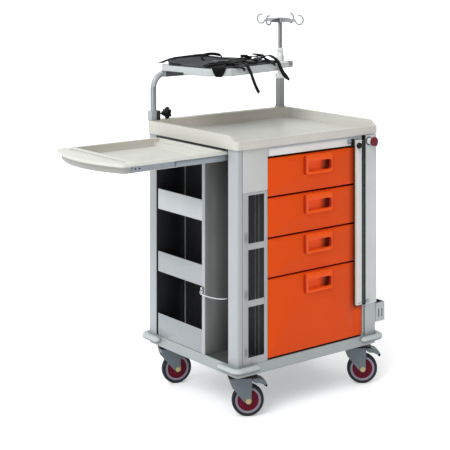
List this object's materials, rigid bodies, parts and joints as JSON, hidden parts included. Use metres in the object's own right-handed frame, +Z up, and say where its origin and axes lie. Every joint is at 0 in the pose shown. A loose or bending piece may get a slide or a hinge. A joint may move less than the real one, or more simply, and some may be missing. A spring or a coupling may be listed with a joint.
{
  "type": "emergency trolley",
  "caption": "Hospital emergency trolley: steel cabinet on castors with drawers behind a locking bar, side bins, pull-out shelf, and a bridge with swivel shelf and drip pole.",
  "frame": {"origin": "on the floor under the middle of the whole trolley, with the side shelf pulled out", "axes": "+Z up, drawers open towards -Y, the side shelf pulls out towards -X"},
  "size_m": [1.3416, 0.729, 1.4958],
  "materials": {
    "orange_lacquer": "satin",
    "grey_lacquer": "satin",
    "inner_sheet": "satin",
    "handle_moulding": "satin",
    "moulded_top": "satin",
    "bumper_plastic": "satin",
    "bright_steel": "polished",
    "castor_plastic": "satin",
    "tyre_rubber": "matte",
    "black_plastic": "matte",
    "burgundy_plastic": "satin",
    "mat_foam": "woven"
  },
  "bodies": {
    "cabinet": {"base_frame": "grey_lacquer", "post_front_left": "grey_lacquer", "post_front_right": "grey_lacquer", "post_rear_left": "grey_lacquer", "post_rear_right": "grey_lacquer", "top_frame": "grey_lacquer", "back_panel": "grey_lacquer", "right_panel": "grey_lacquer", "bay_wall": "inner_sheet", "divider_panel": "grey_lacquer", "blank_panel": "grey_lacquer", "window_frame": "grey_lacquer", "bar_seat": "orange_lacquer", "side_bin_1": "grey_lacquer", "side_bin_2": "grey_lacquer", "side_bin_3": "grey_lacquer", "worktop": "moulded_top", "holder_box": "grey_lacquer", "bridge_column": "grey_lacquer", "clamp_block": "inner_sheet", "bumper_fl": "bumper_plastic", "bumper_fr": "bumper_plastic", "bumper_rl": "bumper_plastic", "bumper_rr": "bumper_plastic"},
    "drawer_1": {"drawer_front_1": "orange_lacquer", "drawer_tray_1": "grey_lacquer", "drawer_handle_1": "handle_moulding"},
    "drawer_2": {"drawer_front_2": "orange_lacquer", "drawer_tray_2": "grey_lacquer", "drawer_handle_2": "handle_moulding"},
    "drawer_3": {"drawer_front_3": "orange_lacquer", "drawer_tray_3": "grey_lacquer", "drawer_handle_3": "handle_moulding"},
    "drawer_4": {"drawer_front_4": "orange_lacquer", "drawer_tray_4": "grey_lacquer", "drawer_handle_4": "handle_moulding"},
    "side_shelf": {"side_shelf": "moulded_top"},
    "shelf_slides": {"shelf_slide_front": "bright_steel", "shelf_slide_rear": "bright_steel"},
    "lock_bar": {"lock_bar": "grey_lacquer", "bar_knob": "black_plastic"},
    "lock_knob": {"lock_knob": "burgundy_plastic"},
    "bridge": {"bridge_tube": "grey_lacquer"},
    "clamp_knob": {"clamp_knob": "black_plastic"},
    "monitor_shelf": {"monitor_shelf": "grey_lacquer", "shelf_mat": "mat_foam", "shelf_strap": "mat_foam"},
    "iv_pole": {"iv_pole": "bright_steel", "iv_hooks": "bright_steel"},
    "cylinder_retainer": {"cylinder_retainer": "bright_steel"},
    "castor_fl": {"castor_fork_fl": "castor_plastic"},
    "wheel_fl": {"castor_wheel_fl": "tyre_rubber"},
    "pedal_fl": {"brake_pedal_fl": "black_plastic"},
    "castor_fr": {"castor_fork_fr": "castor_plastic"},
    "wheel_fr": {"castor_wheel_fr": "tyre_rubber"},
    "pedal_fr": {"brake_pedal_fr": "black_plastic"},
    "castor_rl": {"castor_fork_rl": "castor_plastic"},
    "wheel_rl": {"castor_wheel_rl": "tyre_rubber"},
    "castor_rr": {"castor_fork_rr": "castor_plastic"},
    "wheel_rr": {"castor_wheel_rr": "tyre_rubber"}
  },
  "joints": [
    {"name": "drawer_1_slide", "type": "slide", "parent": "cabinet", "child": "drawer_1", "axis": [0, -1, 0], "range_m": [0, 0.42]},
    {"name": "drawer_2_slide", "type": "slide", "parent": "cabinet", "child": "drawer_2", "axis": [0, -1, 0], "range_m": [0, 0.42]},
    {"name": "drawer_3_slide", "type": "slide", "parent": "cabinet", "child": "drawer_3", "axis": [0, -1, 0], "range_m": [0, 0.42]},
    {"name": "drawer_4_slide", "type": "slide", "parent": "cabinet", "child": "drawer_4", "axis": [0, -1, 0], "range_m": [0, 0.42]},
    {"name": "side_shelf_slide", "type": "slide", "parent": "cabinet", "child": "side_shelf", "axis": [1, 0, 0], "range_m": [0, 0.48]},
    {"name": "shelf_slides_run", "type": "slide", "parent": "cabinet", "child": "shelf_slides", "axis": [1, 0, 0], "range_m": [0, 0.24]},
    {"name": "lock_bar_hinge", "type": "hinge", "parent": "cabinet", "child": "lock_bar", "pos_m": [0.50619, -0.33066, 0.679], "axis": [0, 0, 1], "range_deg": [0, 70]},
    {"name": "lock_knob_turn", "type": "hinge", "parent": "cabinet", "child": "lock_knob", "pos_m": [0.54219, -0.34566, 1.004], "axis": [0, -1, 0], "range_deg": [0, 90]},
    {"name": "bridge_lift", "type": "slide", "parent": "cabinet", "child": "bridge", "axis": [0, 0, 1], "range_m": [0, 0.08]},
    {"name": "clamp_knob_turn", "type": "hinge", "parent": "cabinet", "child": "clamp_knob", "pos_m": [-0.06781, 0.25034, 1.107], "axis": [1, 0, 0], "continuous": true},
    {"name": "monitor_shelf_swivel", "type": "hinge", "parent": "bridge", "child": "monitor_shelf", "pos_m": [0.16219, 0.25034, 1.29], "axis": [0, 0, 1], "range_deg": [-70, 30]},
    {"name": "iv_pole_lift", "type": "slide", "parent": "bridge", "child": "iv_pole", "axis": [0, 0, 1], "range_m": [0, 0.15]},
    {"name": "cylinder_retainer_swing", "type": "hinge", "parent": "cabinet", "child": "cylinder_retainer", "pos_m": [-0.14981, -0.10916, 0.46], "axis": [0, 0, -1], "range_deg": [0, 100]},
    {"name": "castor_fl_swivel", "type": "hinge", "parent": "cabinet", "child": "castor_fl", "pos_m": [-0.08081, -0.26066, 0.16], "axis": [0, 0, 1], "continuous": true},
    {"name": "wheel_fl_spin", "type": "hinge", "parent": "castor_fl", "child": "wheel_fl", "pos_m": [-0.05483, -0.27566, 0.0625], "axis": [0.5, 0.866, 0], "continuous": true},
    {"name": "pedal_fl_press", "type": "hinge", "parent": "castor_fl", "child": "pedal_fl", "pos_m": [-0.03751, -0.28566, 0.142], "axis": [0.5, 0.866, 0], "range_deg": [0, 12]},
    {"name": "castor_fr_swivel", "type": "hinge", "parent": "cabinet", "child": "castor_fr", "pos_m": [0.52519, -0.26066, 0.16], "axis": [0, 0, 1], "continuous": true},
    {"name": "wheel_fr_spin", "type": "hinge", "parent": "castor_fr", "child": "wheel_fr", "pos_m": [0.54946, -0.27829, 0.0625], "axis": [0.5878, 0.809, 0], "continuous": true},
    {"name": "pedal_fr_press", "type": "hinge", "parent": "castor_fr", "child": "pedal_fr", "pos_m": [0.56564, -0.29005, 0.142], "axis": [0.5878, 0.809, 0], "range_deg": [0, 12]},
    {"name": "castor_rl_swivel", "type": "hinge", "parent": "cabinet", "child": "castor_rl", "pos_m": [-0.08081, 0.20334, 0.16], "axis": [0, 0, 1], "continuous": true},
    {"name": "wheel_rl_spin", "type": "hinge", "parent": "castor_rl", "child": "wheel_rl", "pos_m": [-0.05212, 0.19457, 0.0625], "axis": [0.2924, 0.9563, 0], "continuous": true},
    {"name": "castor_rr_swivel", "type": "hinge", "parent": "cabinet", "child": "castor_rr", "pos_m": [0.52519, 0.20334, 0.16], "axis": [0, 0, 1], "continuous": true},
    {"name": "wheel_rr_spin", "type": "hinge", "parent": "castor_rr", "child": "wheel_rr", "pos_m": [0.54817, 0.18406, 0.0625], "axis": [0.6428, 0.766, 0], "continuous": true}
  ],
  "couplings": [
    {"joint": "shelf_slides_run", "follows": "side_shelf_slide", "ratio": 0.5}
  ]
}
